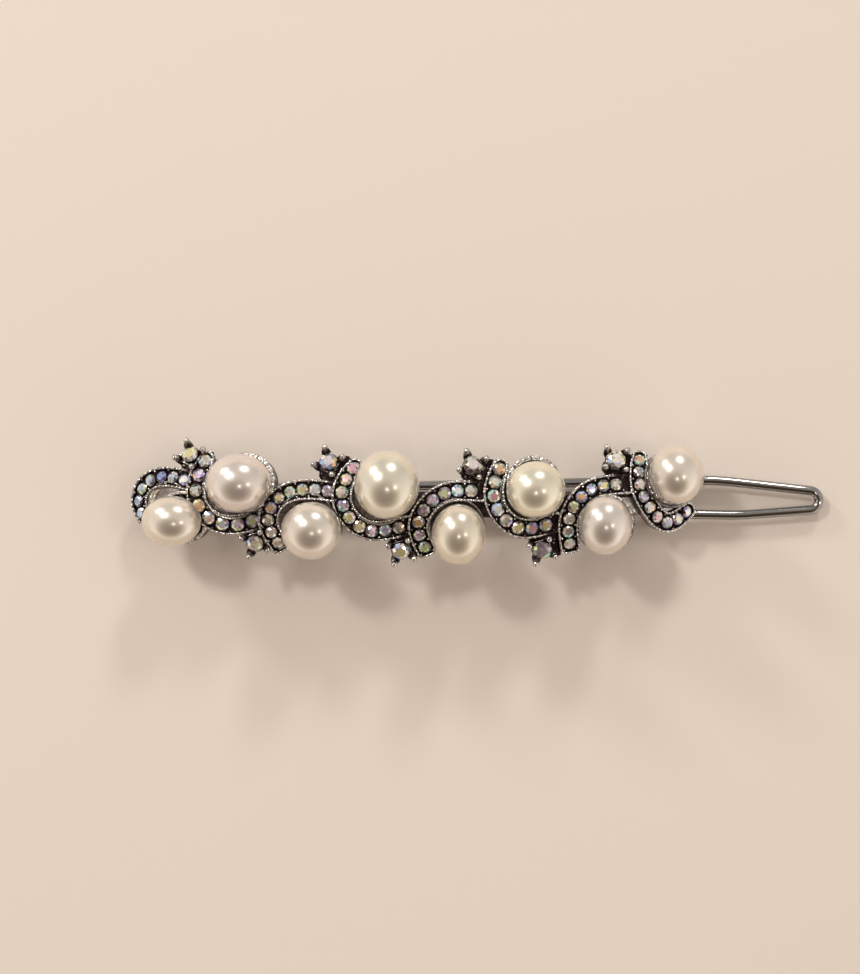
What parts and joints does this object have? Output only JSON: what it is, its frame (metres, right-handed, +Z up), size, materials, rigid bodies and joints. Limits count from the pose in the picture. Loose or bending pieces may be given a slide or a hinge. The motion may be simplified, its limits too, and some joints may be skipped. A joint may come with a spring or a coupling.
{
  "type": "barrette",
  "caption": "Bowed hair barrette: pearls nested in S-linked crescents of small clear stones, on a steel bar with a hinged wire-loop clasp.",
  "frame": {"origin": "middle of the footprint, at the level of the clasp's feet, with the barrette lying pearls upward", "axes": "X along the barrette towards the rounded end of the wire loop, Y across it towards the upper row of pearls, Z up, away from the hair"},
  "size_m": [0.087, 0.0162, 0.0155],
  "materials": {
    "antique_silver": "cast, polished on the high parts and dark in the recesses",
    "pearl": "pearl lustre",
    "crystal": "faceted, foiled and rainbow coated",
    "steel_strip": "plated, satin",
    "plated_wire": "bright plated"
  },
  "bodies": {
    "barrette": {"cast_setting": "antique_silver", "pearl_1": "pearl", "pearl_2": "pearl", "pearl_3": "pearl", "pearl_4": "pearl", "pearl_5": "pearl", "pearl_6": "pearl", "pearl_7": "pearl", "pearl_8": "pearl", "channel_stones_1": "crystal", "channel_stones_2": "crystal", "channel_stones_3": "crystal", "channel_stones_4": "crystal", "channel_stones_5": "crystal", "channel_stones_6": "crystal", "channel_stones_7": "crystal", "channel_stones_8": "crystal", "claw_stone_1": "crystal", "claw_stone_2": "crystal", "claw_stone_3": "crystal", "claw_stone_4": "crystal", "claw_stone_5": "crystal", "claw_stone_6": "crystal", "claw_stone_7": "crystal", "back_bar": "steel_strip", "rivets": "steel_strip", "hinge_bracket": "steel_strip", "catch_bracket": "steel_strip"},
    "clasp_loop": {"wire_loop": "plated_wire"}
  },
  "joints": [
    {"name": "clasp_swing", "type": "hinge", "parent": "barrette", "child": "clasp_loop", "pos_m": [-0.0368, 0.00049, 0.00125], "axis": [0, 1, 0], "range_deg": [0, 100]}
  ]
}
